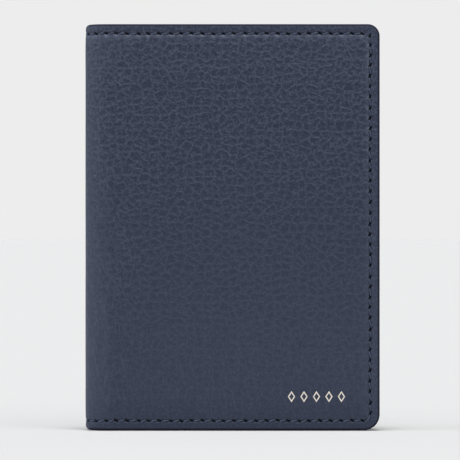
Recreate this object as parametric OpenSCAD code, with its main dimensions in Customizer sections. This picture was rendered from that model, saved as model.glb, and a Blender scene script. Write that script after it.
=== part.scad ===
// Folding leather passport holder, closed and standing on its lower edge.
// X runs from the spine to the free edge, Y from the front cover to the back cover, and Z up.
// The origin is the middle of the lower edge, half way between the two outer faces.
// Each layer of a cover is given by its depth, measured inward from that cover's outer face.

/* [Cover] */
// Width of the closed holder, from the spine to the free edge
cover_w = 101.6; // [99:0.2:106]
// Height of the holder
cover_h = 140; // [136:0.5:146]
// Thickness of the closed holder, over both outer faces
cover_t = 13; // [13:0.1:15]
// Radius of the upper corner on the free edge
top_corner_r = 4.1; // [4:0.1:6]
// Radius of the lower corner on the free edge
foot_corner_r = 5.4; // [4.2:0.1:6.5]

/* [Layers] */
// Thickness of the outer leather
leather_t = 1.1; // [0.9:0.05:1.2]
// Thickness of the stiffening board
board_t = 0.5; // [0.4:0.05:0.6]
// Thickness of the lining
lining_t = 0.25; // [0.2:0.05:0.3]
// Thickness of the leather where it is pared down and turned over the edge
hem_t = 0.65; // [0.5:0.05:0.7]
// Width of the turned hem on the inside
hem_w = 7; // [6:0.5:9]

/* [Passport sleeve] */
// Width of the sleeve inside the back cover, from the free edge
sleeve_w = 58; // [50:1:64]
// Thickness of the sleeve's leather
sleeve_t = 0.8; // [0.6:0.05:0.8]
// Thickness of the sleeve's own lining
sleeve_lining_t = 0.2; // [0.1:0.05:0.2]

/* [Card pockets] */
// Thickness of the panel that carries the card pockets
panel_t = 0.5; // [0.4:0.05:0.5]
// Thickness of each card pocket's leather
pocket_t = 0.65; // [0.5:0.05:0.65]
// Thickness of the textile that carries each pocket down to its foot
liner_t = 0.15; // [0.1:0.05:0.15]
// Height of the top pocket's mouth above the lower edge
top_mouth_z = 106; // [100:1:112]
// Step from one pocket's mouth to the next
mouth_step = 15; // [13:0.5:17]
// How far each pocket's leather is tucked behind the next one
tuck = 8; // [6:0.5:10]
// Depth of a pocket, from its mouth to its foot
pocket_depth = 46; // [42:1:48]

/* [Stitching] */
// Distance from the edge to the seam
seam_inset = 3.2; // [2.8:0.1:3.5]
// Length of a stitch from hole to hole
stitch_pitch = 3.65; // [3:0.05:4.2]
// Visible length of the thread in a stitch
stitch_len = 2.9; // [2.2:0.1:3]
// Diameter of the thread on the outer faces
outer_thread_d = 0.4; // [0.3:0.05:0.4]
// Diameter of the thread on the inner faces
inner_thread_d = 0.2; // [0.15:0.05:0.2]
// Width of the channel that the outer seam lies in
channel_w = 0.9; // [0.8:0.1:1.2]
// Depth of that channel
channel_depth = 0.45; // [0.42:0.01:0.5]

/* [Foil stamp] */
// Number of lozenges in the stamped row
stamp_count = 5; // [3:1:7]
// Distance between the lozenges' centres
stamp_pitch = 4.3; // [3.6:0.1:5]
// Width of a lozenge
stamp_w = 2.6; // [2.2:0.1:3]
// Height of a lozenge
stamp_h = 4; // [3.4:0.1:5]
// Width of the line that draws each lozenge
stamp_line = 0.45; // [0.3:0.05:0.5]
// Height of the row's centre above the lower edge
stamp_z = 11.6; // [9:0.1:20]
// Distance from the row's centre to the free edge
stamp_from_edge = 21.8; // [18:0.1:40]
// Depth to which the stamp is pressed into the leather
stamp_depth = 0.15; // [0.1:0.01:0.2]
// Thickness of the foil
foil_t = 0.06; // [0.03:0.01:0.08]

/* [Hidden] */

leather_navy = [0.10, 0.13, 0.21];
hem_navy = [0.09, 0.11, 0.18];
pocket_navy = [0.12, 0.15, 0.23];
board_grey = [0.55, 0.52, 0.47];
lining_blue = [0.20, 0.24, 0.33];
thread_navy = [0.06, 0.07, 0.12];
foil_champagne = [0.85, 0.81, 0.72];

$fn = 64;
spine_r = cover_t / 2;
edge_x = cover_w / 2;
spine_x = -edge_x + spine_r;      // where the flat covers end and the spine's bend begins
core_t = leather_t + board_t + lining_t;
hem_depth = core_t + hem_t;       // inner face of the turned hem, on which the pockets lie
inner_inset = hem_t + 0.05;       // edge of the board and the lining, just inside the hem's fold
pocket_inset = 0.9;               // edge of the pocket panels, set back from the cover's edge
fold_angle = 45;                  // the spine turns against each cover on this radius of its bend
fold_gap = 1.7;                   // angle left open on each side of that radius
layer_gap = 0.05;                 // air between two layers that only lie on each other
roll_gap = 0.2;                   // angle between a cover's flat sheet and its rolled edge
cut = 1;                          // how far a cutting shape runs past a face

panel_x = spine_x + 2;            // spine edge of the card panel
sleeve_x = edge_x - sleeve_w;     // spine edge of the passport sleeve
panel_depth = hem_depth + panel_t;
sleeve_depth = hem_depth + sleeve_lining_t + sleeve_t;
free_edge_seam = 2.5;             // seam along a pocket's spine edge, from that edge

middle_mouth_z = top_mouth_z - mouth_step;
bottom_mouth_z = middle_mouth_z - mouth_step;
slope_h = 4;                      // height over which a pocket drops off the one behind it

// Heights of the pockets' inner faces above the card panel, where each lies flat and where it is lifted
top_rise = layer_gap + pocket_t;
middle_rise = top_rise + layer_gap + pocket_t;
middle_drop = 2 * layer_gap + liner_t + pocket_t;
bottom_rise = middle_drop + layer_gap + pocket_t;
bottom_drop = 3 * layer_gap + 2 * liner_t + pocket_t;

// Inner surface of the front cover's seams, by height, as steps for lookup()
front_steps = [
    [0, bottom_drop],
    [bottom_mouth_z - tuck - slope_h, bottom_drop], [bottom_mouth_z - tuck, bottom_rise],
    [bottom_mouth_z, bottom_rise], [bottom_mouth_z + 0.01, middle_drop],
    [middle_mouth_z - tuck - slope_h, middle_drop], [middle_mouth_z - tuck, middle_rise],
    [middle_mouth_z, middle_rise], [middle_mouth_z + 0.01, top_rise],
    [top_mouth_z, top_rise], [top_mouth_z + 0.01, 0],
    [cover_h, 0]
];
function rise_at(z) = max(lookup(z - stitch_len / 2, front_steps), lookup(z + stitch_len / 2, front_steps));

outer_face = function(x, z) channel_depth - outer_thread_d - 0.02;
front_inner_face = function(x, z) x < panel_x - stitch_len / 2 ? hem_depth : panel_depth + rise_at(z);
back_inner_face = function(x, z) x < sleeve_x - stitch_len / 2 ? hem_depth : sleeve_depth;

top_seam_r = top_corner_r - seam_inset;
foot_seam_r = foot_corner_r - seam_inset;
seam_x = edge_x - seam_inset;

// ---- shapes shared by both covers, drawn for the front cover ----

module on_back() mirror([0, 1, 0]) children();

// Outline of a layer in X and Z: square towards the spine, rounded at the free corners
module page(x0, inset) {
    top_r = top_corner_r - inset;
    foot_r = foot_corner_r - inset;
    x1 = edge_x - inset;
    if (min(top_r, foot_r) > 0.1) {
        half_h = cover_h / 2 - inset;
        translate([x0, cover_h / 2]) square([x1 - top_r - x0, half_h]);
        translate([x0, inset]) square([x1 - foot_r - x0, half_h]);
        translate([x0, inset + foot_r]) square([x1 - x0, 2 * half_h - foot_r - top_r]);
        translate([x1 - top_r, cover_h - inset - top_r]) circle(top_r);
        translate([x1 - foot_r, inset + foot_r]) circle(foot_r);
    } else {
        translate([x0, inset]) square([x1 - x0, cover_h - 2 * inset]);
    }
}

// Band that follows the three outer edges, between two distances from them
module edge_band(inset0, inset1) {
    difference() {
        page(spine_x, inset0);
        page(spine_x - cut, inset1);
    }
}

// Flat sheet from one depth to another, cut to its children's outline
module sheet(depth0, depth1) {
    translate([0, depth1 - spine_r, 0]) rotate([90, 0, 0]) linear_extrude(depth1 - depth0) children();
}

// Strip of a bend round the spine's axis, between two angles that are measured from the spine's crest
module bend(angle0, angle1, depth0, depth1, z0, z1) {
    translate([spine_x, 0, z0]) rotate([0, 0, 180 + angle0])
        rotate_extrude(angle = angle1 - angle0)
            translate([spine_r - depth1, 0]) square([depth1 - depth0, z1 - z0]);
}

// Rolled edge of the front cover, from its fold line to its flat sheet
module roll(depth0, depth1, z0, z1) {
    bend(fold_angle + fold_gap, 90 - roll_gap, depth0, depth1, z0, z1);
}

// The part of a bend that belongs to the spine itself
module crest(depth0, depth1, z0, z1) {
    bend(-fold_angle + fold_gap, fold_angle - fold_gap, depth0, depth1, z0, z1);
}

module lozenge(share) {
    w = share * stamp_w / 2;
    h = share * stamp_h / 2;
    polygon([[w, 0], [0, h], [-w, 0], [0, -h]]);
}

// The stamped row of outlined lozenges, in X and Z
module lozenges() {
    inner = 1 - 2 * stamp_line * norm([stamp_w, stamp_h]) / (stamp_w * stamp_h);
    for (i = [0 : stamp_count - 1])
        translate([edge_x - stamp_from_edge + (i - (stamp_count - 1) / 2) * stamp_pitch, stamp_z])
            difference() {
                lozenge(1);
                lozenge(inner);
            }
}

module outer_leather(stamped) {
    color(leather_navy) {
        difference() {
            sheet(0, leather_t) page(spine_x, 0);
            sheet(-cut, channel_depth) edge_band(seam_inset - channel_w / 2, seam_inset + channel_w / 2);
            if (stamped) sheet(-cut, stamp_depth) lozenges();
        }
        difference() {
            roll(0, leather_t, 0, cover_h);
            for (z = [seam_inset, cover_h - seam_inset])
                bend(fold_angle, 90, -cut, channel_depth, z - channel_w / 2, z + channel_w / 2);
        }
    }
}

// The hem is three strips that meet at the corners, where the turned leather is slit
module turned_hem() {
    color(hem_navy) {
        difference() {
            union() {
                sheet(leather_t, core_t) edge_band(0, hem_t);
                sheet(core_t, hem_depth) edge_band(0, hem_w);
            }
            for (z = [hem_w, cover_h - hem_w - layer_gap])
                sheet(leather_t, hem_depth + cut) translate([edge_x - hem_w - cut, z])
                    square([hem_w + 2 * cut, layer_gap]);
        }
        for (top = [false, true]) {
            roll(leather_t, core_t, top ? cover_h - hem_t : 0, top ? cover_h : hem_t);
            roll(core_t, hem_depth, top ? cover_h - hem_w : 0, top ? cover_h : hem_w);
        }
    }
}

module board() {
    color(board_grey) sheet(leather_t, leather_t + board_t) page(spine_x, inner_inset);
}

module lining() {
    color(lining_blue) {
        sheet(leather_t + board_t, core_t) page(spine_x, inner_inset);
        roll(leather_t + board_t, core_t, inner_inset, cover_h - inner_inset);
    }
}

// One stitch of a seam in a cover, lying on the face at that depth, turned by an angle in X and Z
module stitch(x, z, turn, depth, d, len) {
    translate([x, depth + d / 2 - spine_r, z]) rotate([0, 90 - turn, 0])
        cylinder(d = d, h = len, center = true, $fn = 16);
}

// Evenly spaced stitches from one point to another; face says how deep the surface lies, and sign
// says whether the thread lies on the outer side of it (-1) or on the inner side (1)
module stitch_row(x0, z0, x1, z1, face, d) {
    run = norm([x1 - x0, z1 - z0]);
    count = round(run / stitch_pitch);
    turn = atan2(z1 - z0, x1 - x0);
    for (i = [0 : count - 1]) {
        t = (i + 0.5) / count;
        x = x0 + t * (x1 - x0);
        z = z0 + t * (z1 - z0);
        stitch(x, z, turn, face(x, z), d, stitch_len);
    }
}

// The seam round the three outer edges of a cover, with one short stitch across each corner
module edge_seam(face, d) {
    stitch_row(spine_x + 0.2, cover_h - seam_inset, seam_x - top_seam_r, cover_h - seam_inset, face, d);
    stitch_row(seam_x, cover_h - seam_inset - top_seam_r, seam_x, seam_inset + foot_seam_r, face, d);
    stitch_row(spine_x + 0.2, seam_inset, seam_x - foot_seam_r, seam_inset, face, d);
    for (top = [false, true]) {
        corner = (top ? top_seam_r : foot_seam_r) * (1 - cos(45));
        x = seam_x - corner;
        z = top ? cover_h - seam_inset - corner : seam_inset + corner;
        stitch(x, z, top ? -45 : 45, face(x, z), d, stitch_len / 2);
    }
}

// Stitches of the top and bottom seams where they pass round the bend
module bend_seam(angles, depth, d, len) {
    for (a = angles, z = [seam_inset, cover_h - seam_inset])
        translate([spine_x, 0, z]) rotate([0, 0, 180 + a]) translate([spine_r - depth - d / 2, 0, 0])
            rotate([90, 0, 0]) cylinder(d = d, h = len, center = true, $fn = 16);
}

module outer_thread() {
    color(thread_navy) {
        edge_seam(outer_face, outer_thread_d);
        bend_seam([60], channel_depth - outer_thread_d - 0.02, outer_thread_d, 2.2);
    }
}

module inner_thread(face) {
    color(thread_navy) {
        edge_seam(face, inner_thread_d);
        bend_seam([60], hem_depth + 0.08, inner_thread_d, 1.4);
    }
}

// ---- front cover ----

module front_outer_leather() outer_leather(true);
module front_turned_hem() turned_hem();
module front_board() board();
module front_lining() lining();

module card_panel() {
    color(pocket_navy) sheet(hem_depth, panel_depth) page(panel_x, pocket_inset);
}

// Outline of a stack of card-pocket leather, which follows a profile of heights above the panel:
// each row of points is [z, rise of the inner face]
module pocket_sheet(profile, t) {
    outer = [for (p = profile) [panel_depth + p[1] - t - spine_r, p[0]]];
    inner = [for (i = [len(profile) - 1 : -1 : 0]) [panel_depth + profile[i][1] - spine_r, profile[i][0]]];
    intersection() {
        translate([panel_x, 0, 0]) rotate([90, 0, 90])
            linear_extrude(edge_x - pocket_inset - panel_x) polygon(concat(outer, inner));
        sheet(panel_depth, panel_depth + 3) page(panel_x, pocket_inset);
    }
}

module card_pocket_top() {
    color(pocket_navy)
        pocket_sheet([[middle_mouth_z - tuck, top_rise], [top_mouth_z, top_rise]], pocket_t);
}

module card_pocket_middle() {
    color(pocket_navy) pocket_sheet([
        [bottom_mouth_z - tuck, middle_drop], [middle_mouth_z - tuck - slope_h, middle_drop],
        [middle_mouth_z - tuck, middle_rise], [middle_mouth_z, middle_rise]
    ], pocket_t);
}

module card_pocket_bottom() {
    color(pocket_navy) pocket_sheet([
        [pocket_inset, bottom_drop], [bottom_mouth_z - tuck - slope_h, bottom_drop],
        [bottom_mouth_z - tuck, bottom_rise], [bottom_mouth_z, bottom_rise]
    ], pocket_t);
}

module card_liner_top() {
    rise = layer_gap + liner_t;
    color(lining_blue)
        pocket_sheet([[top_mouth_z - pocket_depth, rise], [middle_mouth_z - tuck - layer_gap, rise]], liner_t);
}

module card_liner_middle() {
    rise = 2 * (layer_gap + liner_t);
    color(lining_blue)
        pocket_sheet([[middle_mouth_z - pocket_depth, rise], [bottom_mouth_z - tuck - layer_gap, rise]], liner_t);
}

module front_outer_thread() outer_thread();
module front_inner_thread() inner_thread(front_inner_face);

module card_panel_thread() {
    x = panel_x + free_edge_seam;
    face = function(x, z) panel_depth + rise_at(z);
    color(thread_navy)
        stitch_row(x, cover_h - seam_inset - 2, x, seam_inset + 2, face, inner_thread_d);
}

module foil_stamp() {
    color(foil_champagne) sheet(stamp_depth - foil_t, stamp_depth) lozenges();
}

// ---- spine ----

module spine_outer_leather() {
    color(leather_navy) difference() {
        crest(0, leather_t, 0, cover_h);
        for (z = [seam_inset, cover_h - seam_inset])
            bend(-fold_angle, fold_angle, -cut, channel_depth, z - channel_w / 2, z + channel_w / 2);
    }
}

module spine_turned_hem() {
    color(hem_navy) for (top = [false, true]) {
        crest(leather_t, core_t, top ? cover_h - hem_t : 0, top ? cover_h : hem_t);
        crest(core_t, hem_depth, top ? cover_h - hem_w : 0, top ? cover_h : hem_w);
    }
}

module spine_reinforcement() {
    color(board_grey) crest(leather_t, leather_t + board_t, inner_inset, cover_h - inner_inset);
}

module spine_lining() {
    color(lining_blue) crest(leather_t + board_t, core_t, inner_inset, cover_h - inner_inset);
}

module spine_outer_thread() {
    color(thread_navy) bend_seam([-30, 0, 30], channel_depth - outer_thread_d - 0.02, outer_thread_d, 2.2);
}

module spine_inner_thread() {
    color(thread_navy) bend_seam([-30, 0, 30], hem_depth + 0.08, inner_thread_d, 1.4);
}

// ---- back cover ----

module back_outer_leather() on_back() outer_leather(false);
module back_turned_hem() on_back() turned_hem();
module back_board() on_back() board();
module back_lining() on_back() lining();

module passport_sleeve() {
    color(pocket_navy) on_back() sheet(hem_depth + sleeve_lining_t, sleeve_depth) page(sleeve_x, pocket_inset);
}

module passport_sleeve_lining() {
    color(lining_blue) on_back()
        sheet(hem_depth, hem_depth + sleeve_lining_t) page(sleeve_x + pocket_inset, 2 * pocket_inset);
}

module back_outer_thread() on_back() outer_thread();
module back_inner_thread() on_back() inner_thread(back_inner_face);

module sleeve_edge_thread() {
    x = sleeve_x + free_edge_seam;
    color(thread_navy) on_back()
        stitch_row(x, cover_h - seam_inset - 2, x, seam_inset + 2, back_inner_face, inner_thread_d);
}

// ---- output ----

front_outer_leather();
front_turned_hem();
front_board();
front_lining();
card_panel();
card_pocket_top();
card_pocket_middle();
card_pocket_bottom();
card_liner_top();
card_liner_middle();
front_outer_thread();
front_inner_thread();
card_panel_thread();
foil_stamp();
spine_outer_leather();
spine_turned_hem();
spine_reinforcement();
spine_lining();
spine_outer_thread();
spine_inner_thread();
back_outer_leather();
back_turned_hem();
back_board();
back_lining();
passport_sleeve();
passport_sleeve_lining();
back_outer_thread();
back_inner_thread();
sleeve_edge_thread();
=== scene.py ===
"""Looks of the passport holder: pebbled leather with turned edges, its seam, linings, pockets and sleeve.

Lengths are in millimetres until a mesh is made. A cover is drawn flat first and then wrapped: s runs from
the fold beside the spine to the free edge (negative round the spine's bend), z runs up, and depth is
measured inward from the cover's outer face.
"""

import math

import bmesh
import bpy
import numpy as np
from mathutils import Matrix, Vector, noise


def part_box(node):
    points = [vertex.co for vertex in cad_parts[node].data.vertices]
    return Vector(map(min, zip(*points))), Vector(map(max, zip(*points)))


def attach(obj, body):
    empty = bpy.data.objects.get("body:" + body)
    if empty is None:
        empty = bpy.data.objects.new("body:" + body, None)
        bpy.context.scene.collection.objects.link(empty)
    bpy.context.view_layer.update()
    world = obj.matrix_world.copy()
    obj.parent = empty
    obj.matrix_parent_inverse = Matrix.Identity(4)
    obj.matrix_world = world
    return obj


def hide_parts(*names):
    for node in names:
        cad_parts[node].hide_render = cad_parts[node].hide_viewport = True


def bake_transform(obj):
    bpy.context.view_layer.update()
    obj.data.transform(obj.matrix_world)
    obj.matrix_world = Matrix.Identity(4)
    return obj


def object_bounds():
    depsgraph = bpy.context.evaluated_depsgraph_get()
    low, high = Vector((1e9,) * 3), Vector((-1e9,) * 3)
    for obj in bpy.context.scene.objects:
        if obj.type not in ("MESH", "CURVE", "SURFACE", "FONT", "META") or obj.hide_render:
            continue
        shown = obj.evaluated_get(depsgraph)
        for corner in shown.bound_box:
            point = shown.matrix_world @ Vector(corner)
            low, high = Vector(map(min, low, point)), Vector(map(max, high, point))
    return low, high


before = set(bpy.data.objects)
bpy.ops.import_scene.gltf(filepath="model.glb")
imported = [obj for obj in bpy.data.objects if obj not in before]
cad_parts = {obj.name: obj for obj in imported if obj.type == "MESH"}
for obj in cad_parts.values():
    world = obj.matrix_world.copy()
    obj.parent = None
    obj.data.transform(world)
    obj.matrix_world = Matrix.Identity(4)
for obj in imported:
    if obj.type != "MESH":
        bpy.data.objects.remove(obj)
cad_low, cad_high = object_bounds()

MM = 0.001

# ---- the cover's sizes, from the frame where it has them ----

low, high = [np.array(corner) / MM for corner in (cad_low, cad_high)]
COVER_H = high[2]
SPINE_R = (high[1] - low[1]) / 2
SPINE_X = low[0] + SPINE_R
FLAT_W = high[0] - SPINE_X
BEND = SPINE_R * math.pi / 2


def node_box(node):
    """Lowest and highest corner of a CAD node, in millimetres."""
    return [np.array(corner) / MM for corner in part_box(node)]


def front_depths(node):
    """Depth of a front-cover node's outer and inner face."""
    bottom, top = node_box(node)
    return bottom[1] - low[1], top[1] - low[1]


def back_depths(node):
    """Depth of a back-cover node's outer and inner face."""
    bottom, top = node_box(node)
    return high[1] - top[1], high[1] - bottom[1]


LEATHER_T = front_depths("front_board")[0]
LINING_TOP = front_depths("front_board")[1]
HEM_DEPTH, PANEL_DEPTH = front_depths("card_panel")
SLEEVE_UNDER, SLEEVE_DEPTH = back_depths("passport_sleeve")
LINING_T = 0.25
HEM_T = 0.65
HEM_UNDER = HEM_DEPTH - HEM_T
HEM_W = 7.0
TOP_R = 4.1
FOOT_R = 5.4
SEAM_INSET = 3.28
STITCH = 3.66
RIM_R = 0.9
SPINE_RIM_R = 1.6
SAG = 0.35
MOUTH_CREASE = 1.7
CREASE_DROP, CREASE_REACH = 0.08, 0.2
FRONT, BACK = -1, 1

# ---- materials ----


def linear(*rgb):
    """Scene-linear colour of an sRGB colour given from 0 to 255."""
    return [c / 3294.6 if c < 10.31 else ((c / 255 + 0.055) / 1.055) ** 2.4 for c in rgb] + [1]


def lighter(rgb, times):
    """Scene-linear colour that many times as light as an sRGB one."""
    return [min(1, c * times) for c in linear(*rgb)[:3]] + [1]


class Shader:
    """A material and short ways to add nodes to it."""

    def __init__(self, name, roughness=0.5, specular=0.5, metallic=0.0):
        self.material = bpy.data.materials.new(name)
        self.material.use_nodes = True
        self.nodes = self.material.node_tree.nodes
        self.links = self.material.node_tree.links
        self.surface = self.nodes["Principled BSDF"]
        self.put(self.surface, "Roughness", roughness)
        self.put(self.surface, "Specular IOR Level", specular)
        self.put(self.surface, "Metallic", metallic)

    def put(self, node, socket, value):
        """Links a socket to another node's output, or sets its value."""
        if isinstance(value, bpy.types.NodeSocket):
            self.links.new(value, node.inputs[socket])
        elif value is not None:
            node.inputs[socket].default_value = value

    def put_all(self, node, **sockets):
        for socket, value in sockets.items():
            self.put(node, socket, value)

    def math(self, operation, a, b=None, c=None, clamp=False):
        node = self.nodes.new("ShaderNodeMath")
        node.operation = operation
        node.use_clamp = clamp
        for i, value in enumerate((a, b, c)):
            self.put(node, i, value)
        return node.outputs[0]

    def product(self, first, *others):
        for other in others:
            first = self.math("MULTIPLY", first, other)
        return first

    def ramp(self, value, start, end, low=0.0, high=1.0):
        """Smooth step of a value from one level to another."""
        node = self.nodes.new("ShaderNodeMapRange")
        node.interpolation_type = "SMOOTHSTEP"
        for i, item in enumerate((value, start, end, low, high)):
            self.put(node, i, item)
        return node.outputs[0]

    def mix(self, share, a, b):
        node = self.nodes.new("ShaderNodeMix")
        node.data_type = "RGBA"
        for i, value in ((0, share), (6, a), (7, b)):
            self.put(node, i, value)
        return node.outputs[2]

    def uv(self, name):
        """A UV map as a vector, and its two numbers."""
        node = self.nodes.new("ShaderNodeUVMap")
        node.uv_map = name
        parts = self.nodes.new("ShaderNodeSeparateXYZ")
        self.put(parts, 0, node.outputs[0])
        return node.outputs[0], parts.outputs[0], parts.outputs[1]

    def vector(self, x, y):
        node = self.nodes.new("ShaderNodeCombineXYZ")
        self.put(node, 0, x)
        self.put(node, 1, y)
        return node.outputs[0]

    def noise(self, vector, scale, detail=2.0, roughness=0.5):
        node = self.nodes.new("ShaderNodeTexNoise")
        node.noise_dimensions = "2D"
        self.put_all(node, Vector=vector, Scale=scale, Detail=detail, Roughness=roughness)
        return node.outputs

    def cells(self, vector, scale, randomness=1.0):
        """Distance to the nearest cell wall, in cells."""
        node = self.nodes.new("ShaderNodeTexVoronoi")
        node.voronoi_dimensions = "2D"
        node.feature = "DISTANCE_TO_EDGE"
        self.put_all(node, Vector=vector, Scale=scale, Randomness=randomness)
        return node.outputs["Distance"]

    def warped(self, vector, scale, amount):
        """The vector moved about by noise, by up to half an amount each way."""
        offset = self.nodes.new("ShaderNodeVectorMath")
        offset.operation = "MULTIPLY_ADD"
        self.put(offset, 0, self.noise(vector, scale)["Color"])
        self.put(offset, 1, (amount, amount, 0))
        self.put(offset, 2, vector)
        return offset.outputs[0]

    def shifted(self, vector, x, y):
        node = self.nodes.new("ShaderNodeVectorMath")
        self.put(node, 0, vector)
        self.put(node, 1, (x, y, 0))
        return node.outputs[0]

    def bump(self, height, distance):
        """Bumps the surface by a height of 0 to 1 times a distance in millimetres."""
        node = self.nodes.new("ShaderNodeBump")
        self.put(node, "Height", height)
        self.put(node, "Distance", distance * MM)
        self.put(self.surface, "Normal", node.outputs[0])

    def colour(self, value):
        self.put(self.surface, "Base Color", value)


SLIT_LEAN = math.radians(41)
SLIT_HALF_LENGTH = 0.90
SLIT_HALF_WIDTH = 0.31


def pebble_network(m, flat, cells_per_mm, weight, worn_reach):
    """Pebbles of one size: the light walls between them, which break off and fade, how far inside a pebble
    a place is, and how much deeper inside the place above it is, the painted light from above on each
    pebble."""
    moved = m.warped(m.warped(flat, 0.2, 3.0), 0.8, 0.9)
    near = m.cells(moved, cells_per_mm, 0.85)
    # Sampled a little higher up, so that the difference paints light from above on each pebble.
    above = m.cells(m.shifted(moved, 0.0, worn_reach), cells_per_mm, 0.85)
    wall = m.ramp(near, 0.0, 0.24 * cells_per_mm, 1.0, 0.0)
    kept = m.ramp(m.noise(flat, 0.8, 2.0)["Fac"], 0.40, 0.62, 0.12 * weight, weight)
    return m.math("MULTIPLY", wall, kept), m.ramp(near, 0.05, 0.38), m.math("SUBTRACT", above, near)


def pebbles(m, s, z):
    """Walls, domes and painted light from above (paler lower halves) of two sizes of pebbles, the small
    ones strewn among the large.
    """
    flat = m.vector(s, m.math("MULTIPLY", z, 1.12))
    large_wall, large_dome, large_worn = pebble_network(m, m.shifted(flat, 0.0, 0.0), 0.33, 1.0, 0.55)
    small_wall, small_dome, small_worn = pebble_network(m, m.shifted(flat, 31.0, 31.0), 0.62, 0.8, 0.3)
    wall = m.math("MAXIMUM", large_wall, small_wall)
    dome = m.math("MULTIPLY_ADD", large_dome, 0.75, m.math("MULTIPLY", small_dome, 0.25))
    return wall, dome, m.math("MULTIPLY_ADD", small_worn, 0.6, large_worn)


def long_creases(m, s, z):
    """Long creases that run up beside the spine and near the foot."""
    leaning = m.vector(m.math("MULTIPLY_ADD", z, 0.16, s), m.math("MULTIPLY", z, 0.17))
    level = m.noise(m.warped(leaning, 0.25, 1.5), 0.75, 2.0)["Fac"]
    crease = m.ramp(m.math("ABSOLUTE", m.math("SUBTRACT", level, 0.5)), 0.0, 0.06, 1.0, 0.0)
    beside_spine = m.ramp(s, 2.0, 24.0, 1.0, 0.0)
    near_foot = m.ramp(z, 20.0, 60.0, 0.6, 0.0)
    return m.math("MULTIPLY", crease, m.math("MAXIMUM", beside_spine, near_foot))


def from_hole(m, along):
    """How far past the nearest hole of the seam a place lies, in millimetres."""
    return m.math("MULTIPLY", m.math("SUBTRACT", along, m.math("ROUND", along)), STITCH)


def awl_slits(m, along, inward):
    """One slit at every hole, leaning the same way as the awl that cuts it, a little larger or smaller."""
    step = from_hole(m, along)
    ellipse = []
    for half, of_step, of_inward in ((SLIT_HALF_LENGTH, math.cos(SLIT_LEAN), math.sin(SLIT_LEAN)),
                                     (SLIT_HALF_WIDTH, -math.sin(SLIT_LEAN), math.cos(SLIT_LEAN))):
        off = m.math("MULTIPLY_ADD", step, of_step, m.math("MULTIPLY", inward, of_inward))
        ellipse.append(m.math("POWER", m.math("DIVIDE", m.math("ABSOLUTE", off), half), 2.0))
    hole = m.vector(m.math("ROUND", along), 0.0)
    size = m.ramp(m.noise(hole, 0.37, 1.0)["Fac"], 0.35, 0.65, 0.75, 1.35)
    return m.ramp(m.math("MULTIPLY", m.math("ADD", *ellipse), size), 0.55, 1.25, 1.0, 0.0)


def stitch_pull_and_painted_highlight(m, place, z, along, inward):
    """How much paler the leather is where a stitch pulls it, partly real and partly a painted highlight,
    most of all along the top.
    """
    # Partly paler pulled leather and partly a painted highlight, which grows from nothing at the foot to
    # full at the top.
    return m.product(m.ramp(m.math("ABSOLUTE", from_hole(m, along)), 0.1, 1.3, 1.0, 0.4),
                     m.ramp(inward, 0.7, 2.4, 1.0, 0.0),
                     m.ramp(inward, 0.25, 0.6),
                     m.ramp(z, 0.0, COVER_H - SEAM_INSET),
                     m.ramp(m.noise(place, 0.45, 2.0)["Fac"], 0.3, 0.65, 0.6, 1.1))


def navy(m, place, z, inward, tone, pull_and_highlight):
    """The leather's colour: from deep to pale navy, paler with a painted highlight where the stitches pull,
    and with painted shade at the foot and down in the seam's channel.
    """
    patchy = m.noise(place, 0.05, 3.0)["Fac"]
    deep = m.mix(patchy, linear(28, 38, 61), linear(32, 41, 65))
    body = m.mix(tone, deep, linear(70, 78, 97))
    # Paler pulled leather and painted highlight just inside each hole, most of all along the top.
    body = m.mix(m.math("MULTIPLY", m.math("POWER", pull_and_highlight, 3.0), 0.5), body, linear(106, 114, 134))
    # Painted shade along the foot's margin, which faces down.
    body = m.mix(m.ramp(z, 2.0, 3.0, 0.3, 0.0), body, linear(24, 28, 52))
    # Painted shade down in the seam's channel, deeper towards the foot.
    channel = m.math("MULTIPLY", m.ramp(m.math("ABSOLUTE", inward), 0.22, 0.5, 1.0, 0.0),
                     m.ramp(z, 5.0, 60.0, 0.6, 0.46))
    return m.mix(channel, body, linear(14, 21, 42))


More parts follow.
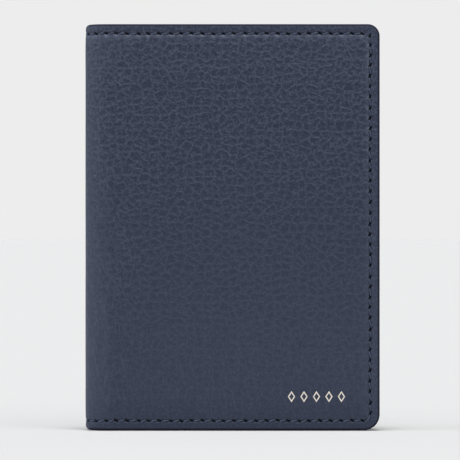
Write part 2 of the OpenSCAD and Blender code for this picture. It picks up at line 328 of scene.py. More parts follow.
def pebbled_leather():
    """Grained navy leather, with the slits of the seam; the grain fades towards the foot and the edges."""
    m = Shader("pebbled_navy_leather", specular=0.4)
    place, s, z = m.uv("grain")
    _, along, inward = m.uv("seam")
    wall, dome, worn = pebbles(m, s, z)
    crease = long_creases(m, s, z)
    slit = awl_slits(m, along, inward)
    pull_and_highlight = stitch_pull_and_painted_highlight(m, place, z, along, inward)
    fine = m.noise(place, 1.5, 3.0, 0.65)["Fac"]
    pores = m.noise(place, 3.2, 3.0, 0.6)["Fac"]
    strength = m.product(m.ramp(z, 8.0, 112.0, 0.25, 1.03),
                         m.ramp(s, -7.0, 9.0, 0.6, 1.0),
                         m.ramp(inward, 0.3, 3.0, 0.6, 1.0))

    relief = m.math("MULTIPLY_ADD", dome, -0.55, m.math("MULTIPLY", wall, 0.8))
    height = m.math("MULTIPLY_ADD", crease, 0.35, m.math("MULTIPLY", relief, strength))
    height = m.math("MULTIPLY_ADD", fine, 0.5, height)
    height = m.math("MULTIPLY_ADD", pores, 0.2, height)
    m.bump(m.math("MULTIPLY_ADD", slit, -2.0, height), 0.08)

    pale = m.math("MULTIPLY", wall, m.ramp(z, 60.0, 110.0, 0.6, 0.95))
    # Painted light from above on each pebble, added to the grain's pale walls and darker domes.
    tone = m.math("MULTIPLY_ADD", worn, 0.8, m.math("MULTIPLY_ADD", dome, -0.38, pale))
    tone = m.math("MULTIPLY_ADD", crease, 0.35, m.math("MULTIPLY", tone, strength))
    speckle = m.math("MULTIPLY", m.ramp(inward, -0.5, 0.0, 3.0, 1.3), m.ramp(z, 60.0, 125.0, 0.7, 1.3))
    tone = m.math("MULTIPLY_ADD", m.math("SUBTRACT", fine, 0.5), speckle, tone)
    # Paler pulled leather and painted highlight beside the holes.
    tone = m.math("MULTIPLY_ADD", pull_and_highlight, 0.7, tone)
    # Slow tones, with a painted highlight round the bend and below the top and painted shade at the foot.
    for lift in slow_tones_and_painted_light(m, s, z, inward):
        tone = m.math("ADD", tone, lift)

    rim = m.ramp(inward, -2.9, -2.3, 1.0, 0.0)
    body = navy(m, place, z, inward, m.ramp(tone, -0.55, 1.25), pull_and_highlight)
    body = m.mix(rim, body, linear(22, 26, 46))
    # The slits are painted near-black: painted shade inside the awl holes.
    m.colour(m.mix(slit, body, linear(0, 2, 22)))
    m.put(m.surface, "Roughness", m.ramp(m.math("MAXIMUM", slit, rim), 0.0, 1.0, 0.5, 0.95))
    return m.material


def slow_tones_and_painted_light(m, s, z, inward):
    """Slow changes of the leather's tone: a painted highlight round the spine's bend and painted shade just
    beside it, a painted highlight below the top, paler towards the free edge, and painted shade towards the
    foot."""
    # Painted highlight below the top, inside the seam.
    painted_top_highlight = m.math("ADD", m.ramp(z, COVER_H - 22, COVER_H - 14, 0.0, 0.10),
                       m.ramp(z, COVER_H - 8, COVER_H - 4.5, 0.0, 0.14))
    return [
        m.math("MULTIPLY", painted_top_highlight, m.ramp(inward, 0.2, 0.9)),
        # Painted highlight round the spine's bend and painted shade just beside it.
        m.ramp(s, -8.0, -4.6, 0.30, -0.16),
        m.ramp(s, -5.0, -1.2, 0.0, 0.36),
        m.ramp(s, -0.6, 4.5, 0.0, -0.20),
        m.ramp(s, FLAT_W - 8, FLAT_W - 3.6, 0.0, 0.11),
        # Painted shade towards the foot.
        m.ramp(z, 1.0, 15.0, -0.20, 0.0),
        m.ramp(z, 40.0, 100.0, 0.08, 0.0),
    ]


def smooth_leather(name, rgb, edge_rgb):
    """Finer leather of the hems and pockets: paler with wear beside the cut edge, which is painted darker.
    """
    m = Shader(name, specular=0.28)
    place, _, _ = m.uv("grain")
    _, _, inward = m.uv("seam")
    wall = m.cells(m.warped(place, 0.6, 1.5), 0.55)
    ridge = m.ramp(wall, 0.0, 0.24, 1.0, 0.0)
    swelling = m.noise(m.warped(place, 0.4, 2.0), 0.35, 2.0)["Fac"]
    pores = m.noise(place, 3.0, 3.0, 0.6)["Fac"]
    paint = m.ramp(inward, 0.15, 0.4, 1.0, 0.0)
    grain = m.math("MULTIPLY", m.math("MULTIPLY_ADD", pores, 0.6, ridge), m.math("SUBTRACT", 1.0, paint))
    patchy = m.noise(place, 0.08, 3.0)["Fac"]
    worn = m.math("MULTIPLY", m.ramp(inward, 0.4, 1.5, 0.5, 0.0), m.noise(place, 0.35, 3.0)["Fac"])
    tone = m.math("MULTIPLY_ADD", ridge, 0.5, m.math("MULTIPLY", patchy, 0.5))
    tone = m.math("MULTIPLY_ADD", m.math("SUBTRACT", swelling, 0.5), -1.1, tone)
    tone = m.math("MULTIPLY_ADD", m.math("SUBTRACT", pores, 0.5), 0.7, tone)
    tone = m.math("ADD", tone, worn, clamp=True)
    m.colour(m.mix(paint, m.mix(tone, linear(*rgb), lighter(rgb, 1.9)), linear(*edge_rgb)))
    m.put(m.surface, "Roughness", m.ramp(pores, 0.3, 0.7, 0.64, 0.54))
    m.bump(grain, 0.08)
    return m.material


def twill(name, rgb):
    """Closely woven lining: slanting ribs with the yarns showing across them."""
    m = Shader(name, roughness=0.75, specular=0.25)
    rib_pitch, yarn_pitch = 0.55, 0.34
    _, s, z = m.uv("grain")
    rib = m.math("SINE", m.math("MULTIPLY", m.math("ADD", s, z), 2 * math.pi / rib_pitch))
    yarn = m.math("SINE", m.math("MULTIPLY", m.math("SUBTRACT", s, z), 2 * math.pi / yarn_pitch))
    weave = m.math("MULTIPLY_ADD", yarn, 0.3, m.math("MULTIPLY", rib, 0.5))
    weft = m.vector(m.math("MULTIPLY", s, 0.12), m.math("MULTIPLY", z, 1.3))
    slub = m.ramp(m.noise(weft, 1.0, 3.0)["Fac"], 0.1, 0.9)
    share = m.math("MULTIPLY_ADD", weave, 0.35, slub, clamp=True)
    m.colour(m.mix(share, linear(*rgb), lighter(rgb, 1.8)))
    m.put(m.surface, "Sheen Weight", 0.25)
    m.bump(weave, 0.05)
    return m.material


def waxed_thread(name, rgb):
    """Twisted polyester thread, with fine filaments along the plies."""
    m = Shader(name, roughness=0.48, specular=0.35)
    place, along, round_it = m.uv("grain")
    lay = m.math("SINE", m.math("MULTIPLY_ADD", along, 20.0, m.math("MULTIPLY", round_it, 14.0)))
    fuzz = m.noise(place, 6.0, 2.0)["Fac"]
    share = m.math("MULTIPLY_ADD", lay, 0.25, fuzz, clamp=True)
    m.colour(m.mix(share, linear(*rgb), lighter(rgb, 1.6)))
    m.bump(lay, 0.02)
    return m.material


def foil():
    """Pale champagne foil, pressed into the grain."""
    m = Shader("champagne_foil", metallic=0.25)
    place, _, _ = m.uv("grain")
    worn = m.noise(place, 1.6, 4.0, 0.65)["Fac"]
    m.colour(m.mix(m.ramp(worn, 0.35, 0.7), linear(228, 219, 206), linear(246, 240, 230)))
    m.put(m.surface, "Roughness", m.ramp(worn, 0.3, 0.7, 0.34, 0.5))
    m.bump(m.noise(place, 2.4, 2.0)["Fac"], 0.03)
    return m.material


def fibre_board():
    """Grey-brown bonded fibre board of the stiffeners, shut in between the leather and the lining."""
    m = Shader("fibre_board", roughness=0.9, specular=0.2)
    texture = m.nodes.new("ShaderNodeTexNoise")
    m.put_all(texture, Scale=900.0, Detail=4.0)
    m.colour(m.mix(texture.outputs["Fac"], linear(150, 140, 122), linear(186, 176, 156)))
    m.bump(texture.outputs["Fac"], 0.05)
    return m.material


# ---- flat drawing and wrapping ----


def smooth_step(value, start, end):
    share = np.clip((value - start) / (end - start), 0, 1)
    return share * share * (3 - 2 * share)


def inset(s, z, s_end=FLAT_W, z0=0.0, z1=COVER_H):
    """Distance inward from the nearest of the three outer edges."""
    return np.minimum(np.minimum(s_end - s, z - z0), z1 - z)


def rounded(s, z, foot_r, top_r, s_end=FLAT_W, z0=0.0, z1=COVER_H):
    """Moves the points of the two square free corners onto round ones, so that lines along the edges become
    arcs."""
    upper = z > (z0 + z1) / 2
    radius = np.where(upper, top_r, foot_r)
    over = s - (s_end - radius)
    past = np.where(upper, z - (z1 - radius), (z0 + radius) - z)
    inside = (over > 0) & (past > 0)
    reach = np.where(inside, np.maximum(over, past) / np.maximum(np.hypot(over, past), 1e-9), 1.0)
    new_z = np.where(upper, z1 - radius + past * reach, z0 + radius - past * reach)
    return np.where(inside, s_end - radius + over * reach, s), np.where(inside, new_z, z)


def wrapped(s, z, depth, side):
    """A flat drawing's points in the frame, straight beyond the fold and round the spine before it."""
    angle = np.maximum(-s / SPINE_R, 0)
    radius = SPINE_R - depth
    x = SPINE_X + np.where(s > 0, s, -radius * np.sin(angle))
    y = side * radius * np.cos(angle)
    return np.stack([x, y, z + 0 * x], axis=-1)


# The seam's path, from the crest of the spine along the top, down the free edge and back along the foot
SEAM_TOP_R = TOP_R - SEAM_INSET
SEAM_FOOT_R = FOOT_R - SEAM_INSET
TOP_END = BEND + FLAT_W - TOP_R
SIDE_START = TOP_END + SEAM_TOP_R * math.pi / 2
SIDE_END = SIDE_START + COVER_H - TOP_R - FOOT_R
FOOT_START = SIDE_END + SEAM_FOOT_R * math.pi / 2
FOOT_END = FOOT_START + FLAT_W - FOOT_R + BEND


def seam_point(along, inward):
    """Flat place (s, z) of a point that far along the seam and that far inside it."""
    inward = inward + stray(along)
    off = SEAM_INSET + inward
    if along < TOP_END:
        return along - BEND, COVER_H - off
    if along < SIDE_START:
        turn = (along - TOP_END) / SEAM_TOP_R
        radius = SEAM_TOP_R - inward
        return FLAT_W - TOP_R + radius * math.sin(turn), COVER_H - TOP_R + radius * math.cos(turn)
    if along < SIDE_END:
        return FLAT_W - off, COVER_H - TOP_R - (along - SIDE_START)
    if along < FOOT_START:
        turn = (along - SIDE_END) / SEAM_FOOT_R
        radius = SEAM_FOOT_R - inward
        return FLAT_W - FOOT_R + radius * math.cos(turn), FOOT_R - radius * math.sin(turn)
    return FLAT_W - FOOT_R - (along - FOOT_START), off


def seam_place(s, z):
    """How far along the seam and how far inside it each point of a square-cornered drawing is."""
    off = inset(s, z)
    along = np.where(off == COVER_H - z, s + BEND,
                     np.where(off == z, FOOT_START + FLAT_W - FOOT_R - s, SIDE_START + COVER_H - TOP_R - z))
    over, past = s - (FLAT_W - TOP_R), z - (COVER_H - TOP_R)
    along = np.where((over > 0) & (past > 0), TOP_END + np.arctan2(over, past) * SEAM_TOP_R, along)
    over, past = s - (FLAT_W - FOOT_R), FOOT_R - z
    along = np.where((over > 0) & (past > 0), SIDE_END + np.arctan2(past, over) * SEAM_FOOT_R, along)
    inward = off - SEAM_INSET
    return along, inward - stray(along) * np.exp(-(inward / 1.5) ** 2)


HOLE_UNEVEN = 0.28
SEAM_STRAY = 0.17


def seam_holes():
    """Places of the holes along the seam, a little unevenly spaced: along the top, down the free edge, and
    all of them, with one at the upper corner and a row along the foot that mirrors the top's."""
    uneven = np.random.default_rng(11)
    top = np.linspace(0, TOP_END - 1.7, round(TOP_END / STITCH))
    side = np.linspace(SIDE_START + 2.9, SIDE_END - 0.5, round((SIDE_END - SIDE_START) / STITCH))
    top[1:] += uneven.uniform(-HOLE_UNEVEN, HOLE_UNEVEN, len(top) - 1)
    side += uneven.uniform(-HOLE_UNEVEN, HOLE_UNEVEN, len(side))
    foot = FOOT_END - top[::-1]
    return top, side, np.concatenate([top, [(top[-1] + side[0]) / 2], side, foot])


TOP_HOLES, SIDE_HOLES, HOLES = seam_holes()
STRAYS = SEAM_STRAY * np.sin(1.31 * np.arange(len(HOLES))) * np.sin(0.37 * np.arange(len(HOLES)))
STRAYS[-1] = 0  # as at the first hole, so that both ends lie on the line


def stray(along):
    """How far inside its line the seam runs at a place along it."""
    return np.interp(along, HOLES, STRAYS)


def hole_number(along):
    return np.interp(along, HOLES, range(len(HOLES)))


def seam_uv(s, z):
    """Seam coordinates for the leather's material: whole numbers at the holes, and the distance inward."""
    along, inward = seam_place(s, z)
    return np.stack([hole_number(along), inward], axis=-1)


def wavy(s, z, size, seed):
    """Slow smooth noise over a drawing, from -1 to 1."""
    points = np.stack([s / size, z / size], axis=-1).reshape(-1, 2)
    values = [noise.noise(Vector((p[0], p[1], seed))) for p in points]
    return np.array(values).reshape(np.shape(s))


# ---- meshes ----


class Builder:
    """Gathers grids of quads with two UV maps and welds them into one mesh."""

    def __init__(self):
        self.points, self.faces, self.materials, self.grain, self.seam = [], [], [], [], []
        self.count = 0

    def grid(self, points, grain, seam, material=0, keep=None):
        """Adds a grid of points, with a mask of the cells to keep."""
        rows, columns = points.shape[:2]
        index = self.count + np.arange(rows * columns).reshape(rows, columns)
        quads = np.stack([index[:-1, :-1], index[1:, :-1], index[1:, 1:], index[:-1, 1:]], axis=-1)
        quads = quads.reshape(-1, 4) if keep is None else quads[keep]
        self.points.append(points.reshape(-1, 3))
        self.grain.append(grain.reshape(-1, 2))
        self.seam.append(seam.reshape(-1, 2))
        self.faces.append(quads)
        self.materials.append(np.full(len(quads), material))
        self.count += rows * columns

    def mesh(self, name, materials, weld=0.0008, sharp=40):
        """The welded object, closed where it was cut, with normals outward."""
        points, faces = np.concatenate(self.points) * MM, np.concatenate(self.faces)
        data = bpy.data.meshes.new(name)
        data.from_pydata(points.tolist(), [], faces.tolist())
        for layer, values in (("grain", self.grain), ("seam", self.seam)):
            per_corner = np.concatenate(values)[faces.reshape(-1)]
            data.uv_layers.new(name=layer).data.foreach_set("uv", per_corner.astype(np.float32).ravel())
        data.polygons.foreach_set("material_index", np.concatenate(self.materials).astype(np.int32))
        shape = bmesh.new()
        shape.from_mesh(data)
        bmesh.ops.remove_doubles(shape, verts=shape.verts, dist=weld * MM)
        loose = [v for v in shape.verts if not v.link_faces]
        bmesh.ops.delete(shape, geom=loose, context="VERTS")
        rim = [e for e in shape.edges if e.is_boundary]
        if rim:
            bmesh.ops.holes_fill(shape, edges=rim, sides=0)
        bmesh.ops.recalc_face_normals(shape, faces=shape.faces)
        shape.to_mesh(data)
        shape.free()
        data.shade_smooth()
        data.set_sharp_from_angle(angle=math.radians(sharp))
        for material in materials:
            data.materials.append(material)
        piece = bpy.data.objects.new(name, data)
        bpy.context.scene.collection.objects.link(piece)
        return piece


def flat_uv(s, z):
    return np.stack([s, z + 0 * s], axis=-1)


NO_SEAM = 50.0
HEM_GRAIN = 200.0


def no_seam(s):
    """Seam coordinates of a surface that has neither slits nor a painted edge."""
    return np.full(np.shape(s) + (2,), NO_SEAM)


def hem_uv(s, z):
    """Grain coordinates of the hem, which shows another part of the hide."""
    return flat_uv(s + HEM_GRAIN, z)


def at_depth(depth):
    """A face that lies flat at one depth."""
    return lambda s, z: depth + 0 * s


def stepped(start, end, step):
    """Numbers from a start to an end, about a step apart."""
    return np.linspace(start, end, max(2, round(abs(end - start) / step) + 1))


FILLET = [RIM_R * (1 - math.cos(math.radians(a))) for a in (0, 18, 36, 54, 70, 90)]
SEAM_LINES = [SEAM_INSET + a for a in (-0.7, -0.5, -0.35, -0.2, -0.1, 0, 0.1, 0.2, 0.35, 0.55)]
EDGE_LINES = sorted(FILLET + SEAM_LINES + [HEM_T, 1.3, 1.8, 2.2, TOP_R, 4.7, FOOT_R, 6.2, HEM_W])


def gathered(holes, start, end):
    """Places of grid lines between a start and an end, close together at the seam's holes."""
    around = np.array([-0.85, -0.28, 0.28, 0.85])
    lines = (np.array(holes)[:, None] + around).ravel()
    return lines[(lines > start + 0.25) & (lines < end - 0.25)]


def merged(lines, more, gap=0.16):
    """Both sets of lines in order, without those of the second set that lie too near one of the first."""
    clear = [m for m in more if np.min(np.abs(lines - m)) > gap]
    return np.sort(np.concatenate([lines, clear]))


def cover_lines(stamped):
    """Places of the grid's lines in s and z, close together at the edges, seam's holes and stamp."""
    edge = np.array(EDGE_LINES)
    s_holes = gathered(TOP_HOLES - BEND, 0.05 - BEND, FLAT_W - HEM_W)
    z_holes = gathered(COVER_H - TOP_R + SIDE_START - SIDE_HOLES[::-1], HEM_W, COVER_H - HEM_W)
    s = np.concatenate([[-BEND, 0.05 - BEND], s_holes, (FLAT_W - edge)[::-1]])
    z = np.concatenate([edge, z_holes, (COVER_H - edge)[::-1]])
    s = merged(s, stepped(0.5 - BEND, 0, 0.7))
    if stamped:
        fine = 0.36
        s = merged(s, stepped(STAMP[0][0] - SPINE_X - fine, STAMP[1][0] - SPINE_X + fine, fine), 0.1)
        z = merged(z, stepped(STAMP[0][2] - fine, STAMP[1][2] + fine, fine), 0.1)
    return s, z


def slow_waves(s, z, side):
    """The panel's own slow unevenness."""
    waves = 0.05 * wavy(s, z, 17.0, 3.1 + side) + 0.025 * wavy(s, z, 7.0, 7.7 + side)
    return waves * np.clip(inset(s, z) / 8, 0, 1)


HOLE_REACH = 0.55
MARGIN_DROP = 0.10
CHANNEL_DROP, CHANNEL_HOLE_DROP, CHANNEL_REACH = 0.26, 0.30, 0.36
SWELL_DROP, SWELL_HOLE_DROP, SWELL_REACH, SWELL_REACH_OUTWARD = 0.12, 0.14, 1.3, 0.5
PLEAT_DROP, PLEAT_W = 0.05, 2.6


def outer_depth(s, z, side):
    """Depth of the grained face: the rim's round, the margin, the seam's channel and the swelling panel."""
    off = inset(s, z)
    along, inward = seam_place(s, z)
    nearest = HOLES[np.round(hole_number(along)).astype(int)]
    pull = np.exp(-((along - nearest) / HOLE_REACH) ** 2)
    radius = SPINE_RIM_R + (RIM_R - SPINE_RIM_R) * smooth_step(s, -BEND, 3.0)
    rim = radius - np.sqrt(np.maximum(radius**2 - np.maximum(radius - off, 0) ** 2, 0))
    margin = MARGIN_DROP / (1 + np.exp(inward / 0.25))
    channel = (CHANNEL_DROP + CHANNEL_HOLE_DROP * pull) * np.exp(-(inward / CHANNEL_REACH) ** 2)
    reach = np.where(inward > 0, SWELL_REACH, SWELL_REACH_OUTWARD)
    swell = (SWELL_DROP + SWELL_HOLE_DROP * pull) * np.exp(-np.abs(inward) / reach)
    gathers = PLEAT_DROP * pleats(s, z, off) * (off < PLEAT_W)
    return rim + margin + channel + swell + slow_waves(s, z, side) + gathers


# The stamped row of lozenges, from the frame
STAMP = node_box("foil_stamp")
STAMP_S = (STAMP[0][0] + STAMP[1][0]) / 2 - SPINE_X
STAMP_Z = (STAMP[0][2] + STAMP[1][2]) / 2
STAMP_COUNT = 5
STAMP_PITCH = 4.3
STAMP_LINE = 0.45
STAMP_DROP = 0.09
FOIL_DEPTH = 0.055
FOIL_HALF_T = 0.03
LOZENGE_H = (STAMP[1][2] - STAMP[0][2]) / 2
LOZENGE_W = (STAMP[1][0] - STAMP[0][0] - (STAMP_COUNT - 1) * STAMP_PITCH) / 2
LOZENGE_R = LOZENGE_W * LOZENGE_H / math.hypot(LOZENGE_W, LOZENGE_H)


def lozenge_depth(s, z):
    """How deep the stamping die presses the leather along the lines of the lozenges."""
    half = STAMP_COUNT // 2
    nearest = np.clip(np.round((s - STAMP_S) / STAMP_PITCH), -half, half)
    across = np.abs(s - STAMP_S - nearest * STAMP_PITCH) / LOZENGE_W
    inward = (1 - across - np.abs(z - STAMP_Z) / LOZENGE_H) * LOZENGE_R
    pressed = smooth_step(inward, -0.3, 0.05) - smooth_step(inward, STAMP_LINE - 0.05, STAMP_LINE + 0.3)
    return STAMP_DROP * pressed


def stamped_foil(name, material):
    """The foil of each lozenge: a thin strip that lies on the pressed leather all round it."""
    made = Builder()
    corners = np.array([(LOZENGE_W, 0), (0, LOZENGE_H), (-LOZENGE_W, 0), (0, -LOZENGE_H), (LOZENGE_W, 0)])
    turn = np.linspace(0, 4, 4 * 8 + 1)
    outline = np.stack([np.interp(turn, range(5), corners[:, k]) for k in (0, 1)], axis=-1)
    for number in range(STAMP_COUNT):
        centre = np.array([STAMP_S + (number - STAMP_COUNT // 2) * STAMP_PITCH, STAMP_Z])
        inward = np.array([0.02, 0.06, 0.14, STAMP_LINE - 0.14, STAMP_LINE - 0.06, STAMP_LINE - 0.02])
        places = centre + outline[:, None, :] * (1 - inward / LOZENGE_R)[None, :, None]
        s, z = places[..., 0], places[..., 1]
        half = FOIL_HALF_T * np.array([0, 0.7, 1, 1, 0.7, 0])
        middle = slow_waves(s, z, FRONT) + FOIL_DEPTH
        for depth in (middle - half, middle + half):
            made.grid(wrapped(s, z, depth, FRONT), flat_uv(s, z), no_seam(s))
    return made.mesh(name, [material], weld=0.0005)


def pleats(s, z, off):
    """Radial gathers where the turned leather is eased round the free corners."""
    upper = z > COVER_H / 2
    radius = np.where(upper, TOP_R, FOOT_R)
    over = s - (FLAT_W - radius)
    past = np.where(upper, z - (COVER_H - radius), radius - z)
    turn = np.arctan2(np.maximum(over, 0), np.maximum(past, 1e-6))
    inside = (over > 0) & (past > 0)
    return np.where(inside, np.maximum(np.cos(turn * 20), 0) ** 3 * np.clip(off / 2, 0.3, 1), 0.0)


PRESS_DROP, PRESS_REACH = 0.13, 0.5
HEM_ROLL_R = 0.5
PARED_DROP, PARED_W = 0.42, 1.5
HEM_PLEAT_DROP = 0.12


def seam_press(s, z):
    """How far the seam pulls the inner faces in along its line."""
    return PRESS_DROP * np.exp(-((inset(s, z) - SEAM_INSET) / PRESS_REACH) ** 2)


def hem_face(s, z):
    """Depth of the hem's inner face: rounded at the rim, gathered at the corners and pared to its edge."""
    off = inset(s, z)
    roll = HEM_ROLL_R - np.sqrt(np.maximum(HEM_ROLL_R**2 - np.maximum(HEM_ROLL_R - off, 0) ** 2, 0))
    pared = PARED_DROP * np.clip((off - (HEM_W - PARED_W)) / PARED_W, 0, 1) ** 2
    return HEM_DEPTH - roll - pared - HEM_PLEAT_DROP * pleats(s, z, off) - seam_press(s, z)


def rim_loop(s_lines, z_lines, off):
    """Square-cornered places along the three outer edges, that far inside them."""
    s = s_lines[s_lines <= FLAT_W - off + 1e-9]
    z = z_lines[(z_lines >= off - 1e-9) & (z_lines <= COVER_H - off + 1e-9)][::-1]
    top = [(a, COVER_H - off) for a in s]
    side = [(FLAT_W - off, b) for b in z[1:-1]]
    foot = [(a, off) for a in s[::-1]]
    return np.array(top + side + foot).T


def rim_strip(made, side, loop, first, last, steps, material):
    """Joins two faces along a line that runs round the outer edges, with small nicks at the gathers."""
    s, z = loop
    share = np.linspace(0, 1, steps + 1)[:, None]
    depth = first(s, z) + (last(s, z) - first(s, z)) * share
    turned_s, turned_z = rounded(s, z, FOOT_R, TOP_R)
    nick = 0.10 * pleats(s, z, 0 * s) * np.sin(math.pi * share)
    radius = np.where(z > COVER_H / 2, TOP_R, FOOT_R)
    centre_z = np.where(z > COVER_H / 2, COVER_H - TOP_R, FOOT_R)
    pulled_s = turned_s - nick * (turned_s - (FLAT_W - radius)) / radius
    pulled_z = turned_z - nick * (turned_z - centre_z) / radius
    grain = flat_uv(s + 0 * share, z + np.sign(z - COVER_H / 2) * (depth - RIM_R))
    edge = np.stack([s + 0 * share, np.full(depth.shape, -SEAM_INSET)], axis=-1)
    made.grid(wrapped(pulled_s, pulled_z, depth, side), grain, edge, material)


def cover_leather(name, side, materials):
    """One cover's leather to the crest of the spine, closed: grained face, rim, hem and flesh side."""
    s_lines, z_lines = cover_lines(side == FRONT)
    s, z = np.meshgrid(s_lines, z_lines, indexing="ij")
    round_s, round_z = rounded(s, z, FOOT_R, TOP_R)
    middle = inset((s[1:, 1:] + s[:-1, :-1]) / 2, (z[1:, 1:] + z[:-1, :-1]) / 2)
    grained, hem = 0, 1
    made = Builder()

    outer = outer_depth(s, z, side) + (lozenge_depth(s, z) if side == FRONT else 0)
    made.grid(wrapped(round_s, round_z, outer, side), flat_uv(s, z), seam_uv(s, z), grained)
    for depth, cells in (
        (hem_face(s, z), (middle < HEM_W) & (middle > 0)),
        (HEM_UNDER, (middle < HEM_W) & (middle > HEM_T)),
        (LEATHER_T, middle > HEM_T),
    ):
        made.grid(wrapped(round_s, round_z, depth + 0 * s, side), hem_uv(s, z), no_seam(s), hem, cells)

    for off, first, last, steps, material in (
        (0.0, lambda s, z: outer_depth(s, z, side), hem_face, 6, grained),
        (HEM_T, at_depth(LEATHER_T), at_depth(HEM_UNDER), 1, hem),
        (HEM_W, at_depth(HEM_UNDER), hem_face, 1, hem),
    ):
        rim_strip(made, side, rim_loop(s_lines, z_lines, off), first, last, steps, material)
    return made.mesh(name, materials)


SHEET_STEP = 1.2
BESIDE_EDGE = [1.0, 1.35, 1.55, 1.7, 1.85, 2.05, 2.3, 2.55, 2.8, 3.3, 3.9, 4.5]


def sheet_lines(s_span, z_span, round_edge, to_crest):
    """Places of a sheet's grid lines in s and z, close together at its cut edges and mouth's crease."""
    s0, s1 = s_span
    z0, z1 = z_span
    round_lines = [round_edge * (1 - math.cos(math.radians(a))) for a in (0, 25, 50, 70, 90)]
    edge = np.array(round_lines + BESIDE_EDGE)
    if to_crest:
        left = np.concatenate([[s0, s0 + 0.05], stepped(s0 + 0.05, 0, 0.45)[1:]])
    else:
        left = s0 + edge
    s_between = stepped(left[-1], s1 - edge[-1], SHEET_STEP)[1:-1]
    z_between = stepped(z0 + edge[-1], z1 - edge[-1], SHEET_STEP)[1:-1]
    s_lines = np.concatenate([left, s_between, (s1 - edge)[::-1]])
    return s_lines, np.concatenate([z0 + edge, z_between, (z1 - edge)[::-1]])


def slab(name, material, side, s_span, z_span, face, thickness, radii=(0, 0), mouth="none", to_crest=False):
    """A sheet with rounded cut edges. face(s, z) is the depth of its inner face, radii are those of its
    lower and upper free corner, and a mouth at its top or its spine edge has a creased line beside it."""
    s0, s1 = s_span
    z0, z1 = z_span
    round_edge = thickness / 2
    s, z = np.meshgrid(*sheet_lines(s_span, z_span, round_edge, to_crest), indexing="ij")
    off = inset(s, z, s1, z0, z1)
    if not to_crest:
        off = np.minimum(off, s - s0)
    half = round_edge * np.sqrt(np.maximum(1 - np.maximum(1 - off / round_edge, 0) ** 2, 0))
    to_mouth = {"top": z1 - z, "spine": s - s0, "none": 0 * s + NO_SEAM}[mouth]
    crease = CREASE_DROP * np.exp(-((to_mouth - MOUTH_CREASE) / CREASE_REACH) ** 2)
    middle = face(s, z) - round_edge
    turned_s, turned_z = rounded(s, z, *radii, s1, z0, z1)
    made = Builder()
    edges = np.stack([s, off], axis=-1)
    for depth in (middle + half - crease, middle - half):
        made.grid(wrapped(turned_s, turned_z, depth, side), flat_uv(s, z), edges)
    return made.mesh(name, [material])


# ---- threads ----


def taut(depth):
    """The depths of a line drawn tight over a surface's high places, from its first point to its last."""
    count = len(depth)
    tight = depth.copy()
    for first in range(count - 2):
        for last in range(first + 2, count):
            span = np.linspace(depth[first], depth[last], last - first + 1)
            tight[first:last + 1] = np.maximum(tight[first:last + 1], span)
    return tight


# The strands of the seams' two sides, as strands() takes them, and how far they stay back from their holes
OUTER_STRAND = {"radius": 0.27, "rise": -0.06, "sink": 0.30, "lean": 0.32}
INNER_STRAND = {"radius": 0.24, "rise": 0.15, "sink": -0.2, "lean": -0.1}
OUTER_BACK = 0.62
INNER_BACK = 0.45
CHANNEL_FLOOR = 0.34


def unit(vectors):
    return vectors / np.linalg.norm(vectors, axis=1)[:, None]


def strands(name, material, side, path, stitches, surface, radius, rise, sink, lean):
    """A seam's visible stitches, each a two-ply strand that rises out of one hole and dives into the next.

    path(along, inward) gives the flat place and surface(s, z) the depth there. rise and sink are the depths
    of the strand's centre beyond that surface, at its middle and at its ends, and lean is how far its ends
    stand to either side of the seam's line. A strand on the inner side, where sink is less than rise, is
    drawn tight.
    """
    around, rings = 10, 13
    made = Builder()
    share = np.linspace(0, 1, rings)
    turn = np.linspace(0, 2 * math.pi, around + 1)
    taper = np.sqrt(np.clip(1 - np.abs(2 * share - 1) ** 8, 0.02, 1))[:, None]
    sign = 1 if rise > sink else -1
    for start, end in stitches:
        along = start + (end - start) * share
        places = np.array([path(a, i) for a, i in zip(along, lean * (1 - 2 * share))])
        depth = surface(places[:, 0], places[:, 1])
        if sign > 0:
            depth = taut(depth)
        depth = depth + sink + (rise - sink) * np.sin(math.pi * share) ** 0.6
        centre = wrapped(places[:, 0], places[:, 1], depth, side)
        up = wrapped(places[:, 0], places[:, 1], depth + sign, side) - centre
        forward = unit(np.gradient(centre, axis=0))
        across = unit(np.cross(forward, up))
        up = np.cross(across, forward)
        twist = 0.55 * (end - start) * share / radius
        width = radius * (1 + 0.16 * np.cos(2 * (turn[None, :] - twist[:, None]))) * taper
        ring = (centre[:, None, :] + (width * np.cos(turn))[..., None] * across[:, None, :]
                + (width * np.sin(turn))[..., None] * up[:, None, :])
        ring[:, -1] = ring[:, 0]
        grain = np.stack(np.broadcast_arrays(along[:, None], turn[None, :] * radius), axis=-1)
        made.grid(ring, grain, no_seam(ring[..., 0]))
    return made.mesh(name, [material], sharp=80)


def seam_stitches(back):
    """Start and end of every visible stitch round a cover, each set back from its holes."""
    return [(a + back, b - back) for a, b in zip(HOLES, HOLES[1:])]


def edge_row(s):
    """Path and stitches of a straight row up a pocket's spine edge, clear of the cover's own seam."""
    top, foot = COVER_H - FOOT_R, FOOT_R
    count = round((top - foot) / STITCH)
    pitch = (top - foot) / count
    row = [(k * pitch + INNER_BACK, (k + 1) * pitch - INNER_BACK) for k in range(count)]
    return lambda along, inward: (s + inward, top - along), row


# ---- pockets and sleeve, from the frame ----

PANEL_S = node_box("card_panel")[0][0] - SPINE_X
SLEEVE_S = node_box("passport_sleeve")[0][0] - SPINE_X
POCKET_INSET = node_box("card_panel")[0][2]
POCKET_T = 0.65
SLOPE_H = 4
EDGE_SEAM = 2.5
POCKETS = {
    # a pocket, and the one that it lies over
    "card_pocket_top": None,
    "card_pocket_middle": "card_pocket_top",
    "card_pocket_bottom": "card_pocket_middle",
}


def sag(s, z):
    """How far the inner leather sinks towards the cover, inside the frame that the turned hem makes."""
    return SAG * smooth_step(inset(s, z), HEM_W - 1, HEM_W + 6) + seam_press(s, z)


